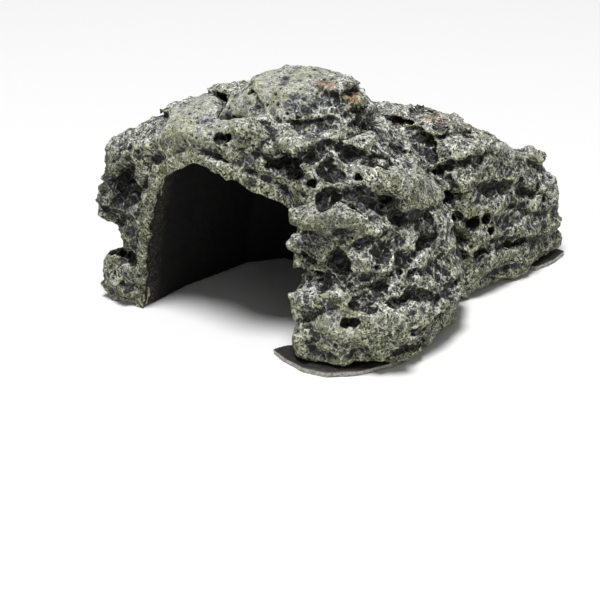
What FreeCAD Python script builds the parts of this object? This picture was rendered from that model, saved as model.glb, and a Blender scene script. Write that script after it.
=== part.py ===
import FreeCAD, Part
import Sketcher
import os

# A rock-look cave for an aquarium or vivarium. The mouth faces -Y, the cave runs along Y,
# +Z is up and the origin is on the underside at the middle of the outline.
# Two resin castings meet at an upright seam. A cap stone is let into the crown, a thin dark
# skin lines the cave and three thin plates are let into the underside.

doc = FreeCAD.newDocument("resin_cave_ornament")
sheet = doc.addObject("Spreadsheet::Sheet", "Sheet")
sizes = {}


def put(alias, value):
    """Write one driving dimension into the sheet under an alias."""
    sizes[alias] = value
    row = len(sizes)
    sheet.set("A%d" % row, alias)
    sheet.set("B%d" % row, str(value))
    sheet.setAlias("B%d" % row, alias)


# Thicknesses and heights, in millimetres.
put("plate_thickness", 2)
put("lining_thickness", 2)
put("lining_lift", 0.6)
put("mortar_thickness", 1.6)
put("mortar_share", 0.95)
put("crest_bed", 74)
put("crest_top", 92)
put("hollow_height", 38)
put("cut_margin", 5)

# Cross sections across the cave: place along Y, reach to the left and right, height.
ARCH_STATIONS = {
    "face": (-69, 59, 44, 77),
    "brow": (-54, 64, 58, 84),
    "crown": (-30, 62, 64, 86),
    "back": (-8, 60, 61, 77),
    "seam": (6.4, 55, 52, 66),
}
LEDGE_STATIONS = {
    "joint": (8, 54, 51, 63),
    "ridge": (20, 55, 53, 66),
    "step": (42, 52, 57, 58),
    "end": (69, 44, 56, 47),
}
CAVE_STATIONS = {
    "mouth": (-74, 44, 22, 67),
    "hall": (-42, 43, 36, 66),
    "bend": (-14, 39, 38, 60),
    "apse": (-1, 30, 28, 46),
}

# Outlines as shares of a station's reach and height, from the left foot over the crown to
# the right foot. A negative share is to the left.
ARCH_OUTLINE = [
    (-0.96, 0.0), (-1.0, 0.13), (-0.90, 0.34), (-1.0, 0.50), (-0.97, 0.66), (-0.78, 0.82),
    (-0.34, 0.97), (0.12, 1.0), (0.49, 0.91), (0.74, 0.69), (0.89, 0.43), (1.0, 0.2), (0.91, 0.0),
]
LEDGE_OUTLINE = [
    (-0.95, 0.0), (-1.0, 0.2), (-0.98, 0.4), (-0.92, 0.6), (-0.78, 0.78), (-0.48, 0.93),
    (0.0, 1.0), (0.34, 0.99), (0.60, 0.96), (0.84, 0.90), (0.95, 0.6), (1.0, 0.28), (0.96, 0.0),
]
CAVE_OUTLINE = [
    (-1.0, 0.0), (-0.94, 0.30), (-0.84, 0.60), (-0.70, 0.85), (-0.30, 1.0),
    (0.20, 0.97), (0.64, 0.84), (0.90, 0.62), (0.98, 0.32), (1.0, 0.0),
]

# Plan outlines, as points (x, y) in millimetres.
PLANS = {
    "crestfoot": [(-24, -44), (-12, -58), (16, -55), (33, -40), (34, -16), (12, -4), (-14, -12)],
    "cresttop": [(-7, -40), (-2, -48), (11, -48), (24, -39), (25, -28), (12, -23), (-4, -28)],
    "fronttrim": [(4, -80), (4, -69.5), (19, -57), (33, -62), (46, -60.5), (56, -50), (80, -46), (80, -80)],
    "skintrim": [(-60, -80), (-60, -67), (4, -67), (21, -55), (40, -55), (40, -80)],
    "skinfield": [(-80, -90), (80, -90), (80, 20), (-80, 20)],
    "rightplate": [
        (18, -63.5), (26, -66), (35, -67), (43, -65), (51, -57), (56, -46), (56, -40), (40, -38),
        (29, -50), (20.5, -57.5),
    ],
    "leftplate": [(-57, -65.5), (-52, -68.5), (-45, -66), (-45, -48), (-59, -46)],
    "rearplate": [(44, 46), (55, 48), (57, 58), (56, 67.5), (44, 68)],
    "hollowfoot": [(-45, 16), (42, 16), (45, 61), (-36, 61)],
    "hollowtop": [(-33, 21), (33, 21), (35, 53), (-25, 53)],
}

for stations in (ARCH_STATIONS, LEDGE_STATIONS, CAVE_STATIONS):
    for station, (along, left, right, height) in stations.items():
        put(station + "_along", along)
        put(station + "_left", left)
        put(station + "_right", right)
        put(station + "_height", height)
for outline, shares in (("arch", ARCH_OUTLINE), ("ledge", LEDGE_OUTLINE), ("cave", CAVE_OUTLINE)):
    for index, (across, up) in enumerate(shares):
        put("%s_across%d" % (outline, index), across)
        put("%s_up%d" % (outline, index), up)
for plan, points in PLANS.items():
    for index, (x, y) in enumerate(points):
        put("%s_x%d" % (plan, index), x)
        put("%s_y%d" % (plan, index), y)
doc.recompute()


def measure(*terms):
    """A size as a number and as an expression bound to the sheet.

    Each term is a tuple of factors, which are aliases or plain numbers, and terms add up.
    """
    total = 0
    parts = []
    for factors in terms:
        number = 1
        words = []
        for factor in factors:
            if factor in sizes:
                number *= sizes[factor]
                words.append("Sheet." + factor)
            else:
                number *= factor
                words.append("(%g)" % factor)
        total += number
        parts.append(" * ".join(words))
    return total, " + ".join(parts)


def new_body(name):
    return doc.addObject("PartDesign::Body", name)


def origin_plane(body, role):
    for feature in body.Origin.OriginFeatures:
        if feature.Role == role:
            return feature
    raise ValueError("no origin plane " + role)


def polygon_sketch(body, name, plane, offset, corners):
    """A closed polygon whose corners are bound to the sheet, on a shifted origin plane.

    offset is a measure along the plane's normal and corners are pairs of measures.
    """
    sketch = body.newObject("Sketcher::SketchObject", name)
    sketch.AttachmentSupport = [(origin_plane(body, plane), "")]
    sketch.MapMode = "FlatFace"
    sketch.setExpression("AttachmentOffset.Base.z", offset[1])
    count = len(corners)
    places = [FreeCAD.Vector(across[0], up[0], 0) for across, up in corners]
    for index in range(count):
        edge = Part.LineSegment(places[index], places[(index + 1) % count])
        sketch.addGeometry(edge, False)
    for index in range(count):
        joint = Sketcher.Constraint("Coincident", index, 2, (index + 1) % count, 1)
        sketch.addConstraint(joint)
    for index, (across, up) in enumerate(corners):
        for kind, (number, expression) in (("DistanceX", across), ("DistanceY", up)):
            place = sketch.addConstraint(Sketcher.Constraint(kind, -1, 1, index, 1, number))
            sketch.setExpression("Constraints[%d]" % place, expression)
    return sketch


def section_corners(station, outline, shares, inset=None, scale=1):
    """A station's outline; inset is an alias taken off its reach and its height."""
    corners = []
    for index, (across, up) in enumerate(shares):
        side = station + ("_left" if across < 0 else "_right")
        across_share = "%s_across%d" % (outline, index)
        up_share = "%s_up%d" % (outline, index)
        wide = [(scale, side, across_share)]
        tall = [(scale, station + "_height", up_share)]
        if inset:
            wide.append((-1, inset, across_share))
            tall.append((-1, inset, up_share))
        corners.append((measure(*wide), measure(*tall)))
    return corners


def plan_corners(plan):
    count = len(PLANS[plan])
    return [(measure(("%s_x%d" % (plan, i),)), measure(("%s_y%d" % (plan, i),))) for i in range(count)]


def across_sketch(body, name, along, corners):
    """A polygon across the cave. The plane's normal is -Y, so the shift is minus the place."""
    terms = [(-1,) + tuple(term) for term in along]
    return polygon_sketch(body, name, "XZ_Plane", measure(*terms), corners)


def plan_sketch(body, name, height, plan):
    return polygon_sketch(body, name, "XY_Plane", measure(*height), plan_corners(plan))


def loft(body, kind, name, sketches):
    feature = body.newObject("PartDesign::" + kind, name)
    feature.Profile = sketches[0]
    feature.Sections = sketches[1:]
    feature.Ruled = True
    return feature


def station_loft(body, kind, name, stations, outline, shares):
    sketches = []
    for station in stations:
        corners = section_corners(station, outline, shares)
        sketches.append(across_sketch(body, name + "_" + station, [(station + "_along",)], corners))
    return loft(body, kind, name, sketches)


def pad(body, name, sketch, length, backwards=False):
    feature = body.newObject("PartDesign::Pad", name)
    feature.Profile = sketch
    feature.setExpression("Length", measure(*length)[1])
    feature.Reversed = backwards
    return feature


def trim(body, name, plan, height):
    """Cut away what lies within a plan outline, from below the underside up to a height."""
    sketch = plan_sketch(body, name + "Outline", [(-1, "cut_margin")], plan)
    pocket = body.newObject("PartDesign::Pocket", name)
    pocket.Profile = sketch
    pocket.setExpression("Length", measure((height,), (1, "cut_margin"))[1])
    pocket.Reversed = True


def make_arch_casting():
    """The front casting: outer rock form, blind cave and slanted front."""
    body = new_body("ArchCasting")
    station_loft(body, "AdditiveLoft", "ArchForm", ARCH_STATIONS, "arch", ARCH_OUTLINE)
    station_loft(body, "SubtractiveLoft", "CaveForm", CAVE_STATIONS, "cave", CAVE_OUTLINE)
    trim(body, "FrontTrim", "fronttrim", "crest_top")
    return body


def make_ledge_casting():
    """The rear casting: layered block, hollowed from below."""
    body = new_body("LedgeCasting")
    station_loft(body, "AdditiveLoft", "LedgeForm", LEDGE_STATIONS, "ledge", LEDGE_OUTLINE)
    foot = plan_sketch(body, "HollowFoot", [(-1, "cut_margin")], "hollowfoot")
    top = plan_sketch(body, "HollowTop", [("hollow_height",)], "hollowtop")
    loft(body, "SubtractiveLoft", "Hollow", [foot, top])
    return body


def make_lining():
    """The dark skin of the cave, closed at the back and trimmed just inside the mouth."""
    body = new_body("CaveSkin")
    station_loft(body, "AdditiveLoft", "SkinOuter", CAVE_STATIONS, "cave", CAVE_OUTLINE)
    sketches = []
    for station in CAVE_STATIONS:
        along = [(station + "_along",)]
        if station == "mouth":
            along.append((-1, "cut_margin"))
        else:
            along.append((-1, "lining_thickness"))
        corners = section_corners(station, "cave", CAVE_OUTLINE, inset="lining_thickness")
        sketches.append(across_sketch(body, "SkinInner_" + station, along, corners))
    loft(body, "SubtractiveLoft", "SkinInner", sketches)
    trim(body, "SkinTrim", "skintrim", "crest_top")
    trim(body, "SkinLift", "skinfield", "lining_lift")
    return body


def make_crest_slab():
    """The cap stone, from its bed in the crown to its top."""
    body = new_body("CrestSlab")
    body.Label = "crest_slab"
    bed = plan_sketch(body, "CrestBed", [("crest_bed",)], "crestfoot")
    top = plan_sketch(body, "CrestTop", [("crest_top",)], "cresttop")
    loft(body, "AdditiveLoft", "CrestForm", [bed, top])
    return body


def make_mortar():
    """The bonding layer between the two castings."""
    body = new_body("SeamMortar")
    body.Label = "seam_mortar"
    corners = section_corners("seam", "arch", ARCH_OUTLINE, scale="mortar_share")
    sketch = across_sketch(body, "MortarOutline", [("seam_along",)], corners)
    pad(body, "MortarLayer", sketch, [("mortar_thickness",)], backwards=True)
    return body


def make_plate(name, label, plan):
    body = new_body(name)
    body.Label = label
    sketch = plan_sketch(body, name + "Outline", [(0,)], plan)
    pad(body, name + "Sheet", sketch, [("plate_thickness",)])
    return body


def cut(name, label, base, tools):
    """The base less the pieces that are let into it."""
    tool = tools[0]
    if len(tools) > 1:
        tool = doc.addObject("Part::MultiFuse", name + "Beds")
        tool.Shapes = tools
    result = doc.addObject("Part::Cut", name)
    result.Label = label
    result.Base = base
    result.Tool = tool
    return result


arch_casting = make_arch_casting()
ledge_casting = make_ledge_casting()
cave_skin = make_lining()
crest_slab = make_crest_slab()
seam_mortar = make_mortar()
right_foot_plate = make_plate("RightFootPlate", "right_foot_plate", "rightplate")
left_foot_plate = make_plate("LeftFootPlate", "left_foot_plate", "leftplate")
rear_foot_plate = make_plate("RearFootPlate", "rear_foot_plate", "rearplate")
front_arch = cut("FrontArch", "front_arch", arch_casting, [crest_slab, right_foot_plate, left_foot_plate])
rear_ledge = cut("RearLedge", "rear_ledge", ledge_casting, [rear_foot_plate])
cave_lining = cut("CaveLining", "cave_lining", cave_skin, [right_foot_plate])
doc.recompute()

parts = [front_arch, crest_slab, rear_ledge, seam_mortar, cave_lining]
parts += [right_foot_plate, left_foot_plate, rear_foot_plate]

for item in doc.Objects:
    if "Invalid" in item.State or "Error" in item.State:
        raise RuntimeError("%s failed: %s" % (item.Name, item.State))
os.makedirs("parts", exist_ok=True)
for part in parts:
    if part.Shape.isNull() or not part.Shape.isValid():
        raise RuntimeError("%s has no valid shape" % part.Label)
for part in parts:
    box = part.Shape.BoundBox
    print(part.Label, len(part.Shape.Solids), "solid(s)", round(part.Shape.Volume / 1000, 1), "cm3", box)
    part.Shape.exportStep("parts/%s.step" % part.Label)
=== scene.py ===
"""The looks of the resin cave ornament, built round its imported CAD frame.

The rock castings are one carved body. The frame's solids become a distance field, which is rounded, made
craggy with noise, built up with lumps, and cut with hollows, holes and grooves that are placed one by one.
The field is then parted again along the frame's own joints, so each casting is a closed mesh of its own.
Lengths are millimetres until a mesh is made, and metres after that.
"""
import math

import bpy
import numpy as np
import openvdb as vdb
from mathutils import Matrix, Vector


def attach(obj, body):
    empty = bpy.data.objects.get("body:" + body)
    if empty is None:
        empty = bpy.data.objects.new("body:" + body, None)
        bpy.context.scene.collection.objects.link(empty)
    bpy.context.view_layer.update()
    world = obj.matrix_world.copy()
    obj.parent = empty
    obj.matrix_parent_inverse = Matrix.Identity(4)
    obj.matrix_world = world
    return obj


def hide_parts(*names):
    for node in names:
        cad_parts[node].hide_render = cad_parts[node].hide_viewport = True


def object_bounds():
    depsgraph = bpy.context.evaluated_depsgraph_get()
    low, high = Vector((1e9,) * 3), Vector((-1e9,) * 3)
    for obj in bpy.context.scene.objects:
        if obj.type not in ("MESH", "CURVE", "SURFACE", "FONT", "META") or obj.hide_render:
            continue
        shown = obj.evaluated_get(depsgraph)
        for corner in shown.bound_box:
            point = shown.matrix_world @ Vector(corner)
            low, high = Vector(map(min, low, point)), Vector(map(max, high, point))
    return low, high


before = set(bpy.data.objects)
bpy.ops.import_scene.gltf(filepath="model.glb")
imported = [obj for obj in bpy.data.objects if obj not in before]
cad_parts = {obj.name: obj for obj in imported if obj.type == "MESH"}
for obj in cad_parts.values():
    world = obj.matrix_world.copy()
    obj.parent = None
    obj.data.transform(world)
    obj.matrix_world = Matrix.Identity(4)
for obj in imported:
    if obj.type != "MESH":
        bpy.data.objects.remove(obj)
cad_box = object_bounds()

MM = 0.001
UP = np.array([0.0, 0.0, 1.0])

# The grid that carries the fields: its spacing, how far from a surface distances are true, and how far it
# goes past the CAD box.
VOXEL = 0.6
REACH = 5.0
MARGIN = 7.0

# The rock castings, and how far each stays clear of its joints.
ROCK_GAPS = {"front_arch": 0.08, "crest_slab": 0.12, "rear_ledge": 0.08}
BONDED = (*ROCK_GAPS, "seam_mortar")

# The plates under the rock, and how far it stays clear of them.
PLATES = ("right_foot_plate", "left_foot_plate", "rear_foot_plate")
PLATE_GAP = 0.2

low = np.floor((np.array(cad_box[0]) / MM - MARGIN) / VOXEL).astype(int)
high = np.ceil((np.array(cad_box[1]) / MM + MARGIN) / VOXEL).astype(int)
ORIGIN = tuple(int(n) for n in low)
SHAPE = tuple(int(n) for n in high - low)


# ---------------------------------------------------------------------------------------------- noise

# Noise and cells repeat after this many steps.
LATTICE = 64


def smoothstep(start, end, x):
    """0 at the start, rising smoothly to 1 at the end, which may also be the smaller one."""
    t = np.clip((x - start) / (end - start), 0, 1)
    return t * t * (3 - 2 * t)


def noise(points, size, seed):
    """Smooth noise from -1 to 1 whose swells are about `size` across."""
    table = np.random.default_rng(seed).random((LATTICE,) * 3, dtype=np.float32)
    scaled = points / np.float32(size)
    cell = np.floor(scaled).astype(np.int32)
    t = (scaled - cell).astype(np.float32)
    t = t * t * (3 - 2 * t)
    near = cell % LATTICE
    far = (cell + 1) % LATTICE
    total = 0
    for corner in range(8):
        steps = (corner & 1, corner >> 1 & 1, corner >> 2 & 1)
        index = tuple((far if steps[axis] else near)[:, axis] for axis in range(3))
        share = 1
        for axis in range(3):
            share = share * (t[:, axis] if steps[axis] else 1 - t[:, axis])
        total = total + share * table[index]
    return total * 2 - 1


def layered_noise(points, size, layers, seed):
    """Layers of noise, each half the size and half the strength of the one before."""
    total = 0
    for layer in range(layers):
        total = total + noise(points, size / 2 ** layer, seed + layer) / 2 ** layer
    return total


def cells(points, size, seed):
    """Distance to the nearest scattered point as a share of the cell size, and that point's own number."""
    generator = np.random.default_rng(seed)
    jitter = generator.random((LATTICE,) * 3 + (3,), dtype=np.float32)
    numbers = generator.random((LATTICE,) * 3, dtype=np.float32)
    scaled = (points / np.asarray(size, np.float32)).astype(np.float32)
    cell = np.floor(scaled).astype(np.int32)
    nearest = np.full(len(points), np.inf, np.float32)
    number = np.zeros(len(points), np.float32)
    for dx in (-1, 0, 1):
        for dy in (-1, 0, 1):
            for dz in (-1, 0, 1):
                other = cell + np.array([dx, dy, dz], np.int32)
                index = tuple((other % LATTICE).T)
                away = other + jitter[index] - scaled
                distance = np.sqrt((away * away).sum(1))
                closer = distance < nearest
                nearest = np.where(closer, distance, nearest)
                number = np.where(closer, numbers[index], number)
    return nearest, number


def warped(points, layers):
    """The points pushed about by noise, so that what is drawn from them has ragged outlines.

    Each layer is the noise's size, how far it pushes, and its seed.
    """
    for size, amount, seed in layers:
        push = [noise(points, size, seed + axis) for axis in range(3)]
        points = points + amount * np.stack(push, 1).astype(np.float32)
    return points


# ------------------------------------------------------------------------------------ distance fields

def distance_field(node):
    """Signed distance to a CAD node on the shared grid, clamped at REACH."""
    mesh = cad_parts[node].data
    mesh.calc_loop_triangles()
    points = np.empty(len(mesh.vertices) * 3, np.float32)
    mesh.vertices.foreach_get("co", points)
    triangles = np.empty(len(mesh.loop_triangles) * 3, np.int32)
    mesh.loop_triangles.foreach_get("vertices", triangles)
    level = vdb.FloatGrid.createLevelSetFromPolygons(
        points.reshape(-1, 3) / np.float32(MM),
        triangles=triangles.reshape(-1, 3).astype(np.uint32),
        transform=vdb.createLinearTransform(voxelSize=VOXEL),
        halfWidth=REACH / VOXEL,
    )
    field = np.full(SHAPE, REACH, np.float32)
    level.copyToArray(field, ijk=ORIGIN)
    return field


def blurred(field, radius):
    """The field averaged over a box, twice along each axis, which rounds its edges."""
    width = max(1, round(radius / VOXEL))
    for axis in (0, 1, 2, 0, 1, 2):
        pad = [(0, 0)] * 3
        pad[axis] = (width + 1, width)
        total = np.cumsum(np.pad(field, pad, mode="edge"), axis=axis, dtype=np.float32)
        count = field.shape[axis]
        first = np.take(total, np.arange(count), axis=axis)
        last = np.take(total, np.arange(2 * width + 1, 2 * width + 1 + count), axis=axis)
        field = (last - first) / (2 * width + 1)
    return field


def places(window):
    """The coordinates of the grid points inside a window of the grid, one row for each."""
    axes = [(np.arange(s.start, s.stop) + o) * VOXEL for s, o in zip(window, ORIGIN)]
    return np.stack(np.meshgrid(*axes, indexing="ij"), -1).astype(np.float32).reshape(-1, 3)


def window_round(corner_low, corner_high):
    """The part of the grid between two corners, as slices."""
    first = np.floor(np.asarray(corner_low) / VOXEL).astype(int) - ORIGIN
    last = np.ceil(np.asarray(corner_high) / VOXEL).astype(int) - ORIGIN + 1
    return tuple(slice(max(0, int(a)), min(n, int(b))) for a, b, n in zip(first, last, SHAPE))


def sampled(field, points):
    """The field's value at each point, by trilinear interpolation."""
    scaled = points / VOXEL - np.array(ORIGIN)
    cell = np.clip(np.floor(scaled).astype(int), 0, np.array(SHAPE) - 2)
    t = scaled - cell
    total = 0
    for corner in range(8):
        steps = np.array([corner & 1, corner >> 1 & 1, corner >> 2 & 1])
        share = np.prod(np.where(steps, t, 1 - t), axis=1)
        total = total + share * field[tuple((cell + steps).T)]
    return total


SLOPE_REACH = 3.0
SETTLING_STEPS = 4


def outward(field, point):
    """The direction straight out of the rock near a point."""
    offsets = np.eye(3) * SLOPE_REACH
    ahead = sampled(field, np.asarray(point) + offsets)
    behind = sampled(field, np.asarray(point) - offsets)
    slope = ahead - behind
    return slope / np.linalg.norm(slope)


def settled(field, point):
    """The place on the rock's skin near a point."""
    point = np.asarray(point, float)
    for _ in range(SETTLING_STEPS):
        point = point - outward(field, point) * sampled(field, point[None])[0]
    return point


def wall_frame(field, point, roll):
    """Along the wall, up the wall and out of the wall at a point. roll turns the first two, in degrees."""
    out = outward(field, point)
    along = np.cross(UP, out)
    along /= np.linalg.norm(along)
    up_wall = np.cross(out, along)
    c = math.cos(math.radians(roll))
    s = math.sin(math.radians(roll))
    return along * c + up_wall * s, up_wall * c - along * s, out


def soft_max(a, b, blend):
    """The larger of two fields, rounded over the blend's length where they cross."""
    h = np.clip(0.5 + 0.5 * (a - b) / blend, 0, 1)
    return b + (a - b) * h + blend * h * (1 - h)


def soft_min(a, b, blend):
    """The smaller of two fields, rounded in the same way."""
    return -soft_max(-a, -b, blend)


# What makes cuts and lumps ragged: the layers of noise that warp them.
CUT_WARP = ((5.5, 1.5, 900), (2.2, 0.6, 910))
GROOVE_WARP = ((5.5, 1.5, 960), (2.2, 0.6, 965))
LUMP_WARP = ((7.0, 1.4, 930),)

# How softly cuts and lumps run into the wall, and how far round them the field is worked.
CUT_BLEND = 0.7
GROOVE_BLEND = 0.6
LUMP_BLEND = 2.0
CUT_MARGIN = 3.0
LUMP_MARGIN = 4.0

# A groove's path is settled on the skin at this many places in each run, and its radius is uneven.
GROOVE_STEPS = 4
GROOVE_UNEVENNESS = 0.35


def ellipsoid(points, centre, axes, halves):
    """About how far each point is outside an ellipsoid."""
    away = points - np.asarray(centre, np.float32)
    scaled = np.stack([away @ axis / half for axis, half in zip(axes, halves)], -1)
    return (np.linalg.norm(scaled, axis=-1) - 1) * min(halves)


def from_path(points, path):
    """How far each point is from the straight runs between the path's points."""
    nearest = np.full(len(points), np.inf, np.float32)
    for start, end in zip(path[:-1], path[1:]):
        run = end - start
        t = np.clip((points - start) @ run / (run @ run), 0, 1)
        nearest = np.minimum(nearest, np.linalg.norm(points - start - t[:, None] * run, axis=1))
    return nearest


def carve(field, shape_field, centre, length, height, depth, roll=0.0, lift=0.0, warp=CUT_WARP):
    """Takes a hollow out of the field. lift leans it upwards behind an overhanging lip, in degrees."""
    centre = settled(shape_field, centre)
    along, up_wall, out = wall_frame(shape_field, centre, roll)
    lean = math.radians(lift)
    inward = -out * math.cos(lean) + up_wall * math.sin(lean)
    side = np.cross(inward, along)
    halves = (length / 2, height / 2, depth)
    reach = max(halves) + CUT_MARGIN
    window = window_round(centre - reach, centre + reach)
    hollow = ellipsoid(warped(places(window), warp), centre, (along, side, inward), halves)
    field[window] = soft_max(field[window], -hollow.reshape(field[window].shape), CUT_BLEND)


def swell(field, shape_field, centre, length, height, proud, roll=0.0):
    """Adds a rounded lump that stands proud of the wall."""
    centre = settled(shape_field, centre)
    along, up_wall, out = wall_frame(shape_field, centre, roll)
    halves = (length / 2, height / 2, proud)
    reach = max(halves) + LUMP_MARGIN
    window = window_round(centre - reach, centre + reach)
    lump = ellipsoid(warped(places(window), LUMP_WARP), centre, (along, up_wall, out), halves)
    field[window] = soft_min(field[window], lump.reshape(field[window].shape), LUMP_BLEND)


def groove(field, shape_field, path, radius):
    """Takes a groove of one radius out of the rock's skin, along the path."""
    runs = zip(path[:-1], path[1:])
    steps = [np.linspace(start, end, GROOVE_STEPS, endpoint=False) for start, end in runs]
    steps = np.concatenate(steps + [np.asarray(path[-1:], float)])
    path = np.array([settled(shape_field, step) for step in steps], np.float32)
    reach = radius + CUT_MARGIN
    window = window_round(path.min(0) - reach, path.max(0) + reach)
    points = warped(places(window), GROOVE_WARP)
    uneven_radius = radius * (1 + GROOVE_UNEVENNESS * noise(points, size=6.0, seed=970))
    outside = from_path(points, path) - uneven_radius
    field[window] = soft_max(field[window], -outside.reshape(field[window].shape), GROOVE_BLEND)


# ------------------------------------------------------------------------- what is placed on the rock

# Places are x, y and z near the rock's skin. The first four tables' places are moved onto the skin first.

# Hollows: where, length along the wall, height up the wall, depth, roll, lift.
HOLLOWS = (
    ((20, -57, 73), 13, 5, 4.0, -5, 5),       # twin overhang under the crest
    ((21, -58, 67), 15, 6, 6.0, 5, 30),
    ((34, -45, 72), 24, 6, 5.0, -24, 25),     # long slot on the shoulder
    ((36, -50, 67), 12, 8, 4.0, -20, 15),
    ((32, -27, 77), 14, 6, 2.6, -12, 10),     # shoulder hollow behind the crest
    ((33, -29, 83), 8, 3, 1.8, 0, 0),         # step at the crest's right end
    ((19, -41, 90), 7, 4, 2.2, -15, 0),       # notch in the crest
    ((52, -33, 48), 20, 6, 5.0, -8, 25),      # flank, middle row
    ((52, -45, 40), 13, 7, 2.2, -10, 10),
    ((55, -39, 35), 5, 10, 3.0, -25, 0),
    ((44, -61, 38), 7, 14, 4.0, 0, 0),        # front corner
    ((34, -61, 32), 17, 6, 7.0, 5, 30),
    ((59, -39, 24), 15, 6, 4.0, -8, 20),      # flank, lower row
    ((51, -55, 24), 10, 5, 2.6, -10, 10),
    ((47, -59, 20), 6, 4, 2.2, -20, 0),
    ((50, -56, 29), 4, 3, 2.0, 0, 0),
    ((50, 2, 26), 12, 6, 4.0, 0, 15),         # flank beside the joint
    ((-45, -69, 45), 15, 19, 5.0, 10, 0),     # left jamb
    ((-46, -69, 19), 12, 6, 3.5, -25, 10),
    ((-63, -66, 24), 12, 9, 7.0, 0, 0),
)

# Round holes: where and radius.
HOLES = (
    ((-1, -68, 76), 1.8), ((3, -68, 76.5), 1.5),
    ((33, -26, 76), 1.8), ((32, -42, 75), 1.2), ((38, -19, 66), 1.3), ((40, -44, 64), 1.7),
    ((47, -39, 56), 1.9), ((44, -50, 56), 1.4), ((33, -59, 65), 1.5),
    ((-49, -69, 8), 1.3), ((19, 13, 63), 1.6), ((-5, -51, 89), 1.1),
    ((50, 12, 31), 2.5), ((51, 19, 31), 1.9), ((52, 20, 25), 1.6), ((54, 55, 29), 2.0),
)

# Grooves: the path and its radius.
GROOVES = (
    # crest's left edge
    (((-5, -51, 90), (0, -52, 87), (7, -55, 84), (14, -57, 80)), 0.8),
    # band on the shoulder
    (((21, -58, 69), (27, -55, 71), (31, -51, 73), (36, -43, 70), (41, -35, 66)), 2.2),
    # channel
    (((36, -59, 59), (40, -54, 62), (43, -48, 61), (48, -40, 54), (52, -33, 48)), 2.2),
    # slot over the foot
    (((26, -60, 31), (33, -62, 31), (40, -62, 33)), 2.6),
    (((50, -50, 38), (56, -41, 34), (58, -33, 31)), 1.0),
    # line over the foot
    (((29, -61, 30), (38, -62, 32), (47, -60, 33), (55, -48, 31)), 1.5),
    # line at the base
    (((49, -58, 9), (56, -46, 7), (61, -31, 4)), 1.3),
    # valley to the rear block
    (((20, 8, 65), (31, 8, 58), (40, -2, 57), (47, -13, 53)), 2.4),
    (((47, -13, 53), (54, -16, 40), (56, -28, 39), (56, -36, 37)), 2.4),
    # under the rear's top ledge
    (((29, 16, 63), (36, 23, 61), (45, 31, 56)), 1.6),
    (((50, 14, 20), (55, 30, 17), (58, 48, 14)), 1.4),
    # rear block's long crack
    (((48, 16, 44), (52, 26, 41), (54, 38, 38), (56, 54, 32)), 2.6),
)

# Lumps: where, length, height, how proud, roll.
LUMPS = (
    ((46, -30, 57), 34, 14, 5.5, -24),
    ((37, -58, 54), 25, 10, 4.0, 0),
    ((26, -60, 43), 7, 5, 4.6, 0),
    ((27, -60, 33), 10, 16, 3.2, 0),
    ((50, -53, 17), 32, 20, 4.0, 0),
    ((40, -61, 26), 28, 5, 2.6, 3),      # ledge over the foot
    ((30, -60, 9), 16, 22, 3.6, 0),      # inner corner of the right jamb
    ((38, -60, 9), 20, 18, 3.2, 0),
    ((29, -60, 26), 12, 18, 3.4, 0),
    ((57, -43, 6), 18, 14, 3.2, 0),      # foot's outer side
    ((8, -58, 80), 20, 9, 3.0, -15),     # under the crest's left edge
    ((19, -57, 77), 18, 9, 3.0, -10),
    ((30, -50, 77), 16, 8, 2.5, -25),
    ((-52, -66, 6), 18, 14, 3.2, 0),     # left jamb's foot
    ((-57, -65, 14), 12, 12, 3.0, 0),
    ((-59, -65, 37), 12, 16, 3.2, 0),    # left jamb's knob
    ((-60, -66, 32), 9, 9, 3.0, 0),
    ((-54, -62, 58), 18, 18, 4.0, 0),    # arch's left shoulder
    ((33, -61, 17), 10, 10, 2.5, 0),     # foot's front
    ((52, 57, 48), 14, 10, 2.4, 0),      # rear block's upper corner
)

# Slopes pressed in or drawn out: where, radius, how far in.
PRESSES = (
    ((38, 62, 61), 36, 3.2),        # rear block's top
    ((57, 56, 38), 9, 3.5),         # notch under the rear block's upper corner
    ((61, 62, 22), 13, -2.0),       # rear block's foot
    ((10, -47, 92), 20, 1.2),       # crest
    ((30, -31, 88), 9, -2.2),       # crest's right end
    ((32, -12, 72), 14, 1.5),       # behind the crest
    ((-58, -66, 40), 12, -2.0),     # left jamb's knob
    ((-56, -66, 24), 8, 4.5),       # left jamb's waist
)

# Calm places, where the skin is smooth: where, radius, the share of the relief that is left.
CALM = (
    ((-16, -59, 80), 26, 0.38),     # roof left of the crest
    ((6, -42, 91), 24, 0.3),        # crest's top
    ((36, -60, 53), 10, 0.6),       # pale block
    ((45, -33, 62), 13, 0.8),       # lobe on the shoulder
    ((44, -60, 18), 14, 0.65),      # foot
)

# Places with painted shade: where, radius, the share of light that is lost.
PAINTED_SHADE_PLACES = (
    ((37, -60, 53), 15, 0.30),      # pale block
    ((-54, -67, 40), 30, 0.42),     # left jamb
    ((-52, -67, 10), 24, 0.25),
    ((50, 45, 35), 55, 0.08),       # rear block
    ((48, -30, 58), 16, 0.12),      # lobe on the shoulder
    ((26, -60, 64), 16, 0.15),      # brow
)

# Brown stains: where and radius.
STAINS = (
    ((21, -38, 92), 6), ((28, -33, 86), 5),
    ((24, 24, 64), 9), ((34, 33, 60), 9), ((14, 12, 66), 6), ((61, 40, 24), 6),
)


# ----------------------------------------------------------------------------------- the rock's field

# The plain form is rounded and drawn in a little first, since the relief then stands out from it.
ROUNDING = 1.6
SHRINK = 0.8

# The broad relief: beds that dip to the rear, scoops that are wider than they are high, and slow swells.
BED_HEIGHT = 10.5
BED_DIP = 0.10
BED_DEPTH = 3.0
BED_SWAY = 5.0
BED_STRETCH = np.array([1, 0.6, 1], np.float32)
SCOOP_CELLS = (12.0, 18.0, 6.5)
SCOOP_DEPTH = 1.7
CRAG_WARP = ((9.0, 2.0, 30), (4.0, 0.8, 33))


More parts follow.
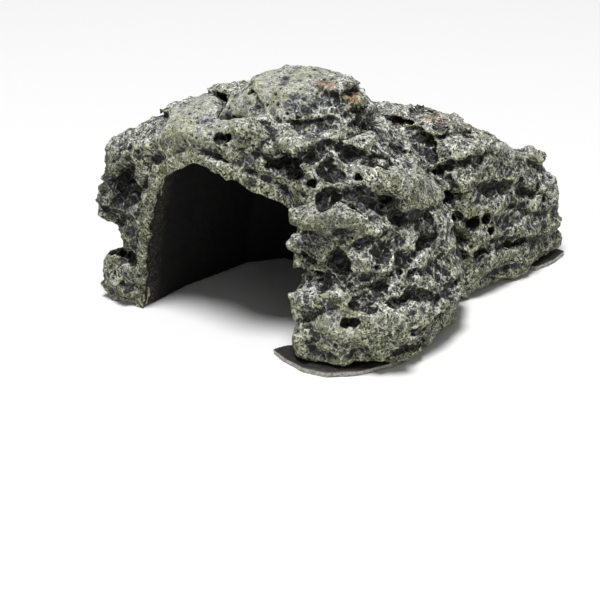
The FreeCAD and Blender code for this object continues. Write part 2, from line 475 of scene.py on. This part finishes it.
def ledges(points):
    """Beds that dip to the rear: each juts out at its foot and slopes back above it."""
    height = points[:, 2] + BED_DIP * points[:, 1]
    height = height + BED_SWAY * noise(points, size=27.0, seed=20) + noise(points, size=8.0, seed=21)
    share = height / BED_HEIGHT % 1
    profile = (1 - share) * smoothstep(0.0, 0.2, share)
    present = smoothstep(-0.45, 0.35, noise(points * BED_STRETCH, size=20.0, seed=22))
    return BED_DEPTH * (profile - 0.4) * present


# A place has its full effect within this share of its radius.
FULL_SHARE = 0.35


def near(points, centre, radius):
    """1 round the centre, falling to 0 at the radius."""
    away = np.linalg.norm(points - np.asarray(centre, np.float32), axis=1)
    return smoothstep(radius, FULL_SHARE * radius, away)


def relief_left(points):
    """The share of the relief that the calm places leave."""
    left = np.ones(len(points), np.float32)
    for centre, radius, share in CALM:
        left = np.minimum(left, 1 - (1 - share) * near(points, centre, radius))
    return left


def crags(points):
    """How far the broad rock form lies inside the plain one, in millimetres."""
    ragged = warped(points, CRAG_WARP)
    scoop, _ = cells(ragged, SCOOP_CELLS, seed=36)
    swells = layered_noise(points, size=20.0, layers=2, seed=10)
    scoops = SCOOP_DEPTH * (scoop ** 2 - 0.4)
    inwards = swells - relief_left(points) * (scoops + ledges(ragged))
    for centre, radius, amount in PRESSES:
        inwards = inwards + amount * near(points, centre, radius)
    return inwards


# The lining's front edge seen from above. A rough bead of rock runs along it and hides it.
RIM_PLAN = np.array([(-60, -67), (4, -67), (21, -55), (40, -55)], np.float32)
RIM_RADIUS = 1.2
RIM_BLEND = 1.2
RIM_MARGIN = 5
RIM_WARP = ((5.0, 1.3, 84),)


def rim_distance(points, from_lining):
    """How far each point is from the lining's front edge."""
    return np.hypot(from_path(points[:, :2], RIM_PLAN), np.maximum(from_lining, 0))


cad_fields = {node: distance_field(node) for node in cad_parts}
lining_field = cad_fields["cave_lining"]
plain = np.minimum.reduce([cad_fields[node] for node in BONDED])
uncarved = blurred(plain, ROUNDING) + SHRINK

# The relief is worked out only near the skin, where the distances are true.
band = np.abs(uncarved) < REACH - 0.5
spots = ((np.argwhere(band) + ORIGIN) * VOXEL).astype(np.float32)
uncarved[band] += crags(spots).astype(np.float32)

without_lumps = uncarved.copy()
for lump in LUMPS:
    swell(uncarved, without_lumps, *lump)
carved = uncarved.copy()
for hollow in HOLLOWS:
    carve(carved, uncarved, *hollow)
for centre, radius in HOLES:
    carve(carved, uncarved, centre, 2 * radius, 2 * radius, 2.5 * radius, warp=())
for path, radius in GROOVES:
    groove(carved, uncarved, path, radius)

# The castings keep their true faces where they meet the lining.
beside_lining = smoothstep(0.3, 2.6, lining_field)
carved = plain + (carved - plain) * beside_lining

rim_low = (RIM_PLAN[0, 0], RIM_PLAN[0, 1] - RIM_MARGIN, 0)
rim_high = (*(RIM_PLAN[-1] + RIM_MARGIN), cad_box[1][2] / MM)
rim_window = window_round(rim_low, rim_high)
rim_points = warped(places(rim_window), RIM_WARP)
coarse = noise(rim_points, size=8.0, seed=80)
fine = noise(rim_points, size=2.6, seed=81)
rim_thickness = RIM_RADIUS * (1 + 0.4 * coarse + 0.3 * fine)
bead = rim_distance(rim_points, lining_field[rim_window].ravel()) - rim_thickness
carved[rim_window] = soft_min(carved[rim_window], bead.reshape(carved[rim_window].shape), RIM_BLEND)


# How much open air lies round each grid point: about half on level rock, less in a hollow.
AIR_REACH = 3.0
WIDE_AIR_REACH = 7.0
air = (carved > 0).astype(np.float32)
near_air = blurred(air, AIR_REACH)
wide_air = blurred(air, WIDE_AIR_REACH)


# ------------------------------------------------------------------------------------------- meshes

def mesh_from_field(field):
    """A closed quad mesh where the field is zero: points in millimetres, and quads facing outwards."""
    grid = vdb.FloatGrid(REACH)
    grid.copyFromArray(np.ascontiguousarray(field, np.float32), ijk=ORIGIN)
    grid.transform = vdb.createLinearTransform(voxelSize=VOXEL)
    points, _, quads = grid.convertToPolygons(isovalue=0.0, adaptivity=0.0)
    points = points.astype(np.float64)
    corners = points[quads]
    normals = np.cross(corners[:, 2] - corners[:, 0], corners[:, 3] - corners[:, 1])
    if (corners.mean(1) * normals).sum() < 0:
        quads = quads[:, ::-1]
    return points, np.ascontiguousarray(quads, np.int32)


def new_piece(name, points, quads):
    """An object with a mesh made of these quads, for points in millimetres."""
    mesh = bpy.data.meshes.new(name)
    mesh.vertices.add(len(points))
    mesh.vertices.foreach_set("co", (points * MM).astype(np.float32).ravel())
    mesh.loops.add(quads.size)
    mesh.loops.foreach_set("vertex_index", quads.ravel())
    mesh.polygons.add(len(quads))
    mesh.polygons.foreach_set("loop_start", np.arange(0, quads.size, 4, dtype=np.int32))
    mesh.update(calc_edges=True)
    mesh.validate()
    mesh.shade_smooth()
    piece = bpy.data.objects.new(name, mesh)
    bpy.context.collection.objects.link(piece)
    return piece


def read(mesh_items, key, width, kind=np.float32):
    """One property of all a mesh's items, such as its normals, in rows of this width."""
    values = np.empty(len(mesh_items) * width, kind)
    mesh_items.foreach_get(key, values)
    return values.reshape(-1, width)


def store(mesh, name, values):
    """Gives each vertex a value that the materials can read by name."""
    attribute = mesh.attributes.new(name, "FLOAT", "POINT")
    attribute.data.foreach_set("value", np.asarray(values, np.float32))


def relaxed(points, edges, rounds):
    """The points after so many rounds of moving halfway to their neighbours' mean."""
    count = np.bincount(edges.ravel(), minlength=len(points))
    for _ in range(rounds):
        total = [
            np.bincount(edges[:, 0], points[edges[:, 1], axis], len(points))
            + np.bincount(edges[:, 1], points[edges[:, 0], axis], len(points))
            for axis in range(3)
        ]
        points = 0.5 * points + 0.5 * np.stack(total, 1) / count[:, None]
    return points


def move_points(mesh, points):
    """Puts the vertices at these points, in millimetres, with nothing below the floor."""
    points[:, 2] = np.maximum(points[:, 2], 0)
    mesh.vertices.foreach_set("co", (points * MM).astype(np.float32).ravel())
    mesh.update()


# The fine relief: bowls of two sizes between sharp webs, finer ones, a grain of noise, and round pits. Calm
# places keep at least LEAST_RELIEF of it.
RELIEF_WARP = ((5.0, 1.2, 40), (2.0, 0.45, 44))
LARGE_CELLS = (7.5, 9.5, 5.0)
LARGE_DEPTH = 1.7
SMALL_CELLS = (3.8, 4.6, 2.8)
SMALL_DEPTH = 1.0
FINE_CELLS = 1.8
FINE_DEPTH = 0.5
GRAIN_DEPTH = 0.25
LEAST_RELIEF = 0.2
PIT_CELLS = 2.9
PIT_DEPTH = 0.9

# To tell what stands out, the skin is compared with a relaxed one. This is how far the relaxing spreads, as
# an area in square millimetres.
FINE_SPREAD = 5.0

# The relief is gone at the first of each pair of distances and full at the second: from the joints, the
# floor and the lining. RIM_RELIEF is the share that stays round the lining's front edge.
JOINT_FADE = (0.0, 0.8)
FLOOR_FADE = (0.0, 0.9)
LINING_FADE = (0.4, 2.4)
RIM_FADE = (4.5, 2.5)
RIM_RELIEF = 0.7


def webbed(distance, number, depth):
    """Bowls round the cells' points, with webs between them. Each cell's own number makes it deeper."""
    return depth * (0.5 + number) * (distance ** 2 - 0.45)


def rock_relief(points):
    """How far the skin stands out in millimetres, the share of it in bowls, and the share in pits."""
    points = points.astype(np.float32)
    ragged = warped(points, RELIEF_WARP)
    large, large_number = cells(ragged, LARGE_CELLS, seed=50)
    small, small_number = cells(ragged, SMALL_CELLS, seed=52)
    fine, _ = cells(ragged, FINE_CELLS, seed=54)
    relief = webbed(large, large_number, LARGE_DEPTH) + webbed(small, small_number, SMALL_DEPTH)
    grain = layered_noise(points, size=2.4, layers=2, seed=64)
    relief += FINE_DEPTH * (fine ** 2 - 0.4) + GRAIN_DEPTH * grain
    bowl = smoothstep(0.50, 0.25, large) * smoothstep(0.2, 0.6, large_number)
    bowl = np.maximum(bowl, smoothstep(0.50, 0.25, small) * smoothstep(0.3, 0.6, small_number))
    pit_distance, pit_number = cells(points, PIT_CELLS, seed=60)
    pit = smoothstep(0.28, 0.16, pit_distance) * (pit_number > 0.6)
    return relief * (LEAST_RELIEF + (1 - LEAST_RELIEF) * relief_left(points)), bowl, pit


def casting_field(node):
    """The node's share of the carved field, and how far each grid point is outside that share."""
    others = np.minimum.reduce([cad_fields[other] for other in BONDED if other != node])
    past_joint = (cad_fields[node] - others) / 2 + ROCK_GAPS[node]
    field = np.maximum(carved, past_joint)
    for plate in PLATES:
        field = np.maximum(field, PLATE_GAP - cad_fields[plate])
    below_floor = -(np.arange(SHAPE[2]) + ORIGIN[2]) * VOXEL
    return np.maximum(field, below_floor.astype(np.float32)), past_joint


def rock_piece(node):
    """One casting: its share of the carved field, with the fine relief pressed into its skin."""
    field, past_joint = casting_field(node)
    points, quads = mesh_from_field(field)
    piece = new_piece(node + "_rock", points, quads)
    mesh = piece.data
    normals = read(mesh.vertex_normals, "vector", 3)

    # The share of the relief that each place has.
    skin = smoothstep(*JOINT_FADE, -sampled(past_joint, points)) * smoothstep(*FLOOR_FADE, points[:, 2])
    from_lining = sampled(lining_field, points)
    at_rim = smoothstep(*RIM_FADE, rim_distance(points, from_lining))
    skin *= np.maximum(smoothstep(*LINING_FADE, from_lining), RIM_RELIEF * at_rim)
    relief, bowl, pit = rock_relief(points)
    points = points + normals * (skin * (relief - PIT_DEPTH * pit))[:, None]
    move_points(mesh, points)

    # What the paint goes by: how each place lies, and what it is part of.
    edges = read(mesh.edges, "vertices", 2, np.int32)
    normals = read(mesh.vertex_normals, "vector", 3)
    rounds = round(FINE_SPREAD / VOXEL ** 2)
    # Painted shade over the listed darker places.
    painted_shades = [lost * near(points, centre, radius) for centre, radius, lost in PAINTED_SHADE_PLACES]
    stains = [near(points, centre, radius) for centre, radius in STAINS]
    store(mesh, "fine", ((points - relaxed(points, edges, rounds)) * normals).sum(1))
    store(mesh, "open", sampled(near_air, points) - 0.5)
    store(mesh, "wide_open", sampled(wide_air, points) - 0.5)
    store(mesh, "pit", pit * skin)
    store(mesh, "bowl", bowl * skin)
    store(mesh, "calm", 1 - relief_left(points))
    store(mesh, "painted_shade", np.maximum.reduce(painted_shades))
    store(mesh, "stain", np.maximum.reduce(stains))
    store(mesh, "upward", relaxed(normals, edges, 2 * rounds)[:, 2])
    store(mesh, "buried", np.clip(-sampled(uncarved, points), -2, REACH))
    return piece


def plain_piece(name, node, roughness, seed):
    """A piece that keeps its CAD shape, with a slightly uneven skin."""
    points, quads = mesh_from_field(cad_fields[node])
    piece = new_piece(name, points, quads)
    normals = read(piece.data.vertex_normals, "vector", 3)
    uneven = roughness * layered_noise(points.astype(np.float32), size=3.0, layers=3, seed=seed)
    move_points(piece.data, points + normals * uneven[:, None])
    store(piece.data, "upward", normals[:, 2])
    return piece


# ---------------------------------------------------------------------------------------- materials

class Nodes:
    """A short way to write a material's nodes."""

    def __init__(self, name):
        self.material = bpy.data.materials.new(name)
        self.material.use_nodes = True
        self.tree = self.material.node_tree
        self.shader = self.tree.nodes["Principled BSDF"]
        coordinates = self.tree.nodes.new("ShaderNodeTexCoord")
        self.position = coordinates.outputs["Object"]

    def put(self, socket, value):
        """Links another node's output to a socket, or sets the socket to a constant."""
        if isinstance(value, bpy.types.NodeSocket):
            self.tree.links.new(value, socket)
        elif socket.type == "RGBA":
            socket.default_value = (*value, 1)
        else:
            socket.default_value = value

    def attribute(self, name):
        """A value that store() has given each vertex."""
        node = self.tree.nodes.new("ShaderNodeAttribute")
        node.attribute_name = name
        return node.outputs["Fac"]

    def math(self, operation, *values):
        node = self.tree.nodes.new("ShaderNodeMath")
        node.operation = operation
        for socket, value in zip(node.inputs, values):
            self.put(socket, value)
        return node.outputs[0]

    def times(self, a, b):
        return self.math("MULTIPLY", a, b)

    def minus(self, a, b):
        return self.math("SUBTRACT", a, b)

    def larger(self, a, b):
        return self.math("MAXIMUM", a, b)

    def away_from(self, value, middle):
        return self.math("ABSOLUTE", self.minus(value, middle))

    def total(self, first, *values):
        for value in values:
            first = self.math("ADD", first, value)
        return first

    def ramp(self, value, start, end, low=0.0, high=1.0):
        """A smooth step from low at start to high at end."""
        node = self.tree.nodes.new("ShaderNodeMapRange")
        node.interpolation_type = "SMOOTHSTEP"
        for socket, number in zip(node.inputs, (value, start, end, low, high)):
            self.put(socket, number)
        return node.outputs[0]

    def noise(self, size, detail=3.0, roughness=0.5, seed=0.0):
        """Noise from 0 to 1 whose swells are about `size` across, in millimetres."""
        node = self.tree.nodes.new("ShaderNodeTexNoise")
        node.noise_dimensions = "4D"
        self.put(node.inputs["Vector"], self.position)
        self.put(node.inputs["W"], seed)
        self.put(node.inputs["Scale"], 1 / (size * MM))
        self.put(node.inputs["Detail"], detail)
        self.put(node.inputs["Roughness"], roughness)
        return node.outputs["Fac"]

    def cell_node(self, size, position):
        node = self.tree.nodes.new("ShaderNodeTexVoronoi")
        self.put(node.inputs["Vector"], position)
        self.put(node.inputs["Scale"], 1 / (size * MM))
        return node

    def cell_distance(self, size, position):
        """The distance to the nearest scattered point, as a share of the cell size."""
        return self.cell_node(size, position).outputs["Distance"]

    def cell_edge(self, size, position):
        """The distance to the cell's edge, as a share of the cell size."""
        node = self.cell_node(size, position)
        node.feature = "DISTANCE_TO_EDGE"
        return node.outputs["Distance"]

    def cell_number(self, size, position):
        """A number of its own for each cell, from 0 to 1."""
        parts = self.tree.nodes.new("ShaderNodeSeparateColor")
        self.put(parts.inputs[0], self.cell_node(size, position).outputs["Color"])
        return parts.outputs[0]

    def shaken(self, size, amount):
        """The position pushed about by noise, in millimetres."""
        texture = self.tree.nodes.new("ShaderNodeTexNoise")
        self.put(texture.inputs["Vector"], self.position)
        self.put(texture.inputs["Scale"], 1 / (size * MM))
        self.put(texture.inputs["Detail"], 2.0)
        push = self.tree.nodes.new("ShaderNodeVectorMath")
        push.operation = "MULTIPLY_ADD"
        self.put(push.inputs[0], texture.outputs["Color"])
        push.inputs[1].default_value = (2 * amount * MM,) * 3
        self.put(push.inputs[2], self.position)
        return push.outputs[0]

    def plan(self):
        """The position's x and y in metres."""
        node = self.tree.nodes.new("ShaderNodeSeparateXYZ")
        self.put(node.inputs[0], self.position)
        return node.outputs[0], node.outputs[1]

    def scaled(self, tone, factor):
        """A colour made lighter or darker."""
        node = self.tree.nodes.new("ShaderNodeVectorMath")
        node.operation = "SCALE"
        self.put(node.inputs[0], tone)
        self.put(node.inputs["Scale"], factor)
        return node.outputs[0]

    def mix(self, factor, a, b, blend="MIX"):
        """From colour a to colour b. Inputs 6 and 7 and output 2 are the node's colour sockets."""
        node = self.tree.nodes.new("ShaderNodeMix")
        node.data_type = "RGBA"
        node.blend_type = blend
        self.put(node.inputs["Factor"], factor)
        self.put(node.inputs[6], a)
        self.put(node.inputs[7], b)
        return node.outputs[2]

    def bump(self, height, distance, strength=1.0):
        """A normal that shows the height as relief this deep, in millimetres."""
        node = self.tree.nodes.new("ShaderNodeBump")
        self.put(node.inputs["Height"], height)
        self.put(node.inputs["Distance"], distance * MM)
        self.put(node.inputs["Strength"], strength)
        return node.outputs["Normal"]

    def finish(self, **sockets):
        """Sets the shader's sockets, named with _ for each space, and returns the material."""
        for name, value in sockets.items():
            self.put(self.shader.inputs[name.replace("_", " ")], value)
        return self.material


def colour(text):
    """A colour written as sRGB hex, in the linear values that a shader takes."""
    parts = [int(text[i:i + 2], 16) / 255 for i in (1, 3, 5)]
    return tuple(p / 12.92 if p <= 0.04045 else ((p + 0.055) / 1.055) ** 2.4 for p in parts)


# The sizes that the rock's paint is broken into: facets, chips in them, and the spacing of black marks.
FACET_SIZE = 4.6
CHIP_SIZE = 2.1
SPECK_SPACING = 1.2
DOT_SPACING = 2.6

# A pair of colours is what faces downwards and what faces upwards: painted shade on the downward faces and
# painted light on the upward ones, along with the paler paint that the tops really have.
BARE_RESIN = (colour("#4D4D53"), colour("#808287"))
PALE_PAINT = (colour("#898C73"), colour("#BCBEAF"))
PALE_LINES = (colour("#CDD0B3"), colour("#F2F3EC"))
MOSS_GLAZE = colour("#ECEFC0")
PIT_BLACK = colour("#0E0E0E")
STAIN_BROWN = colour("#B5855C")


def pale_lines(n, wavy, ragged, grain, calm):
    """Where thin lines run: along the facets' edges, and along the chips' edges in crackled patches."""
    wide_line = n.ramp(n.cell_edge(FACET_SIZE, wavy), 0.035, 0.085, low=1.0, high=0.0)
    fine_line = n.ramp(n.cell_edge(CHIP_SIZE, ragged), 0.05, 0.15, low=1.0, high=0.0)
    crackled = n.ramp(n.noise(6.0, detail=3.0, seed=15.0), 0.47, 0.56)
    line = n.larger(wide_line, n.times(fine_line, crackled))
    line = n.times(line, n.ramp(grain, -0.14, -0.04, low=0.3, high=1.0))
    return n.times(line, n.ramp(calm, 0.1, 0.6, low=1.0, high=0.5))


def black_marks(n, ragged, calm):
    """Where the skin is black: specks in patches, hairline cracks, round dots and the mesh's own pits."""
    speck = n.ramp(n.cell_distance(SPECK_SPACING, ragged), 0.25, 0.35, low=1.0, high=0.0)
    speck = n.times(speck, n.ramp(n.noise(3.5, detail=2.0, seed=4.0), 0.42, 0.50))
    hairline = n.away_from(n.noise(3.4, detail=4.0, roughness=0.6, seed=17.0), 0.5)
    hairline = n.ramp(hairline, 0.010, 0.024, low=1.0, high=0.0)
    speck = n.larger(speck, n.times(hairline, 0.8))
    speck = n.times(speck, n.ramp(calm, 0.1, 0.6, low=1.0, high=0.35))
    dot = n.cell_distance(DOT_SPACING, n.shaken(size=0.8, amount=0.1))
    dot = n.ramp(dot, 0.14, 0.20, low=1.0, high=0.0)
    return n.larger(n.larger(speck, dot), n.attribute("pit"))


def rock_material():
    """Facets of bare purple-grey resin and of pale paint, with thin paler lines between them."""
    n = Nodes("painted_rock")
    ragged = n.shaken(size=1.6, amount=0.5)
    wavy = n.shaken(size=2.6, amount=1.1)
    grain = n.minus(n.noise(0.9, detail=2.0, roughness=0.6), 0.5)
    sand = n.minus(n.noise(0.5, detail=2.0, roughness=0.6, seed=9.0), 0.5)
    blotch = n.minus(n.noise(5.0, detail=4.0, roughness=0.6, seed=7.0), 0.5)
    patchy = n.ramp(n.noise(4.5, detail=3.0, seed=5.0), 0.44, 0.54)
    facet = n.cell_number(FACET_SIZE, wavy)
    chip = n.minus(n.cell_number(CHIP_SIZE, ragged), 0.5)
    line = pale_lines(n, wavy, ragged, grain, n.attribute("calm"))
    hole = black_marks(n, ragged, n.attribute("calm"))
    upward = n.ramp(n.attribute("upward"), -0.1, 0.85)

    # How much a place stands out from the rock round it: below zero in hollows and cracks.
    form = n.total(
        n.times(n.attribute("fine"), 0.9),
        n.times(n.attribute("open"), 1.3),
        n.times(n.attribute("wide_open"), 0.8),
        n.times(n.larger(n.attribute("buried"), 0.0), -0.05),
    )
    depth = n.total(form, n.times(grain, 0.8))

    # What stands out has kept its paint. Each facet and chip has its own chance of it.
    chance = n.total(
        n.times(facet, 0.6),
        0.20,
        form,
        n.times(chip, n.times(patchy, 0.4)),
        n.times(blotch, 1.2),
        n.times(grain, 0.4),
        n.times(upward, 0.14),
        n.times(n.attribute("calm"), 0.28),
        n.times(n.attribute("bowl"), -0.5),
    )
    # These colour pairs, and the pale lines' pair below, are lit and shaded copies: painted light where the
    # rock faces up, painted shade where it faces down, on top of the paler paint that tops have.
    bare = n.mix(upward, *BARE_RESIN)
    paint = n.mix(upward, *PALE_PAINT)
    mossy = n.ramp(n.noise(11.0, detail=3.0, roughness=0.6, seed=11.0), 0.48, 0.64, low=0.0, high=0.7)
    paint = n.mix(mossy, paint, n.mix(1.0, paint, MOSS_GLAZE, "MULTIPLY"))
    tone = n.mix(n.ramp(chance, 0.40, 0.54), bare, paint)

    # The paint's own uneven tone, with a painted highlight on fine ridges and painted shade in fine
    # creases.
    shade = n.total(
        0.75,
        grain,
        n.times(sand, 2.3),
        n.times(n.attribute("fine"), 0.5),
        n.times(blotch, 0.4),
    )
    # Painted shade over the listed darker places.
    shade = n.times(shade, n.minus(1.0, n.attribute("painted_shade")))
    # Painted shade in hollows and cracks, standing also for the dark base coat left in them; it darkens the
    # pale lines less than the rest.
    line_shade = n.times(shade, n.ramp(depth, -0.55, 0.0, low=0.22, high=1.0))
    shade = n.times(shade, n.ramp(depth, -0.44, 0.06, low=0.09, high=1.0))
    tone = n.mix(line, n.scaled(tone, shade), n.scaled(n.mix(upward, *PALE_LINES), line_shade))
    tone = n.mix(n.times(hole, 0.88), tone, PIT_BLACK)
    streaked = n.ramp(n.noise(2.2, detail=4.0, seed=13.0), 0.44, 0.56, low=0.0, high=0.8)
    tone = n.mix(n.times(n.attribute("stain"), streaked), tone, n.scaled(STAIN_BROWN, shade))

    height = n.total(
        grain,
        n.times(chip, 0.2),
        n.times(line, 0.35),
        n.times(hole, -1.0),
    )
    return n.finish(
        Base_Color=tone,
        Roughness=n.ramp(chance, 0.2, 0.8, low=0.5, high=0.85),
        Normal=n.bump(height, distance=0.45, strength=0.9),
        Specular_IOR_Level=0.35,
    )


# The strips along the lining's front, as y in millimetres: where the dark reveal and the pale front edge
# begin and are full, and the middle of the trimmed line, with how far from it the line is full and gone.
REVEAL = (-54.0, -60.0)
FRONT_EDGE = (-63.1, -64.1)
TRIM_LINE = -61.0
TRIM_LINE_HALVES = (0.4, 0.8)

# How far the strips wander, and between which x they run out over the front edge.
STRIP_WANDER = 6.0
STRIP_ENDS = (-30.0, -10.0)

SKIN_BLACK = (colour("#0C0C0C"), colour("#181817"))
REVEAL_GREY = (colour("#1D1C19"), colour("#4E4B41"))
TRIM_PALE = (colour("#6E6A5A"), colour("#C4C2A8"))


def in_metres(lengths):
    return [length * MM for length in lengths]


def skin_material():
    """Matt near-black paint inside the cave, worn back in strips along its front edge."""
    n = Nodes("cave_skin")
    cloud = n.noise(14.0, detail=4.0)
    grain = n.noise(0.9, detail=4.0, roughness=0.7)
    streak = n.noise(3.0, detail=3.0, seed=2.0)
    reveal = n.mix(n.ramp(grain, 0.45, 0.62), *REVEAL_GREY)
    trim = n.mix(n.ramp(grain, 0.40, 0.58), *TRIM_PALE)
    x, y = n.plan()
    run_out = n.ramp(x, *in_metres(STRIP_ENDS))
    wander = STRIP_WANDER * MM
    edge = n.total(y, n.times(streak, wander), n.times(run_out, wander))
    tone = n.mix(cloud, *SKIN_BLACK)
    tone = n.mix(n.ramp(edge, *in_metres(REVEAL)), tone, reveal)
    trim_line = n.ramp(n.away_from(edge, TRIM_LINE * MM), *in_metres(TRIM_LINE_HALVES), low=1.0, high=0.0)
    trim_line = n.times(trim_line, n.ramp(n.noise(16.0, detail=2.0, seed=6.0), 0.48, 0.54))
    tone = n.mix(trim_line, tone, trim)
    tone = n.mix(n.ramp(edge, *in_metres(FRONT_EDGE)), tone, trim)
    return n.finish(
        Base_Color=tone,
        Roughness=n.ramp(cloud, 0.3, 0.7, low=0.72, high=0.9),
        Normal=n.bump(n.noise(2.5, detail=4.0, roughness=0.6), distance=0.5, strength=0.5),
        Specular_IOR_Level=0.25,
    )


MORTAR_GREY = (colour("#1B1B1C"), colour("#4B4C46"))


def mortar_material():
    """Rough dark mortar."""
    n = Nodes("dark_mortar")
    grain = n.noise(0.9, detail=4.0, roughness=0.7)
    tone = n.mix(grain, *MORTAR_GREY)
    return n.finish(Base_Color=tone, Roughness=0.9, Normal=n.bump(grain, distance=0.5))


PLATE_DARK = (colour("#1E1B19"), colour("#3A3734"))
PLATE_WORN = colour("#77756E")
PLATE_CUT = colour("#B0AEA4")


def plate_material():
    """Cut resin: a smooth dark top that still shines a little, and rough paler sides."""
    n = Nodes("plate_resin")
    grain = n.noise(0.8, detail=4.0, roughness=0.65)
    tone = n.mix(n.noise(6.0, detail=3.0), *PLATE_DARK)
    tone = n.mix(n.ramp(grain, 0.55, 0.70, low=0.0, high=0.7), tone, PLATE_WORN)
    side = n.ramp(n.attribute("upward"), 0.75, 0.35)
    tone = n.mix(n.times(side, n.ramp(grain, 0.40, 0.55, low=0.35, high=1.0)), tone, PLATE_CUT)
    return n.finish(
        Base_Color=tone,
        Roughness=n.ramp(grain, 0.3, 0.7, low=0.35, high=0.6),
        Normal=n.bump(grain, distance=0.25, strength=0.6),
    )


def dress(piece, node, material):
    """Gives a piece its material, puts it on the root body, and hides the CAD part that it stands in for.
    """
    piece.data.materials.append(material)
    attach(piece, "root")
    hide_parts(node)


# ------------------------------------------------------------------------------------------- pieces

rock_paint = rock_material()
for node in ROCK_GAPS:
    dress(rock_piece(node), node, rock_paint)
mortar_bed = plain_piece("seam_mortar_bed", "seam_mortar", roughness=0.3, seed=70)
dress(mortar_bed, "seam_mortar", mortar_material())
lining_skin = plain_piece("cave_lining_skin", "cave_lining", roughness=0.12, seed=75)
dress(lining_skin, "cave_lining", skin_material())
plate_paint = plate_material()
for plate in PLATES:
    slab = plain_piece(plate + "_slab", plate, roughness=0.25, seed=80)
    dress(slab, plate, plate_paint)


# ---------------------------------------------------------------------------- camera, floor and light

# The camera, in degrees, metres, and millimetres on the sensor. A shift is a share of the sensor's width.
AZIMUTH = math.radians(38.0)
ELEVATION = math.radians(22.5)
DISTANCE = 0.504
AIM = Vector((0.012, -0.011, 0.040))
SENSOR = 36.0
LENS = 83.94624
LENS_SHIFT = (-0.089, -0.175)

FLOOR_HALF = 2.0
FLOOR_WHITE = (0.9, 0.9, 0.9)
WORLD_LEVEL = 0.18


def place_camera():
    """The photo's view of the ornament."""
    level = math.cos(ELEVATION)
    back = Vector((math.sin(AZIMUTH) * level, -math.cos(AZIMUTH) * level, math.sin(ELEVATION)))
    data = bpy.data.cameras.new("camera")
    data.sensor_width = SENSOR
    data.lens = LENS
    data.shift_x, data.shift_y = LENS_SHIFT
    camera = bpy.data.objects.new("camera", data)
    bpy.context.collection.objects.link(camera)
    camera.location = AIM + back * DISTANCE
    camera.rotation_euler = back.to_track_quat("Z", "Y").to_euler()
    bpy.context.scene.camera = camera


def lay_floor():
    """A white floor that the ornament stands on."""
    corners = [(x * FLOOR_HALF, y * FLOOR_HALF, 0) for x, y in ((-1, -1), (1, -1), (1, 1), (-1, 1))]
    mesh = bpy.data.meshes.new("floor")
    mesh.from_pydata(corners, [], [(0, 1, 2, 3)])
    mesh.materials.append(Nodes("floor").finish(Base_Color=FLOOR_WHITE, Roughness=0.7))
    floor = bpy.data.objects.new("floor", mesh)
    bpy.context.collection.objects.link(floor)


def softbox(name, direction, distance, size, level):
    """A round soft light. level is how bright it alone makes a white card that faces it."""
    data = bpy.data.lights.new(name, "AREA")
    data.shape = "DISK"
    data.size = size
    data.energy = level * (math.pi * distance) ** 2
    lamp = bpy.data.objects.new(name, data)
    bpy.context.collection.objects.link(lamp)
    lamp.location = AIM + Vector(direction).normalized() * distance
    lamp.rotation_euler = Vector(direction).to_track_quat("Z", "Y").to_euler()


def light_world():
    """Even white light from all round."""
    world = bpy.data.worlds.new("studio")
    world.use_nodes = True
    background = world.node_tree.nodes["Background"]
    background.inputs["Color"].default_value = (1, 1, 1, 1)
    background.inputs["Strength"].default_value = WORLD_LEVEL
    bpy.context.scene.world = world


place_camera()
lay_floor()
softbox("key", direction=(0.10, -0.24, 1.0), distance=3.0, size=0.95, level=1.09)
softbox("side", direction=(1.0, -0.6, 0.6), distance=1.2, size=0.6, level=0.045)
light_world()
bpy.context.scene.view_settings.view_transform = "Standard"
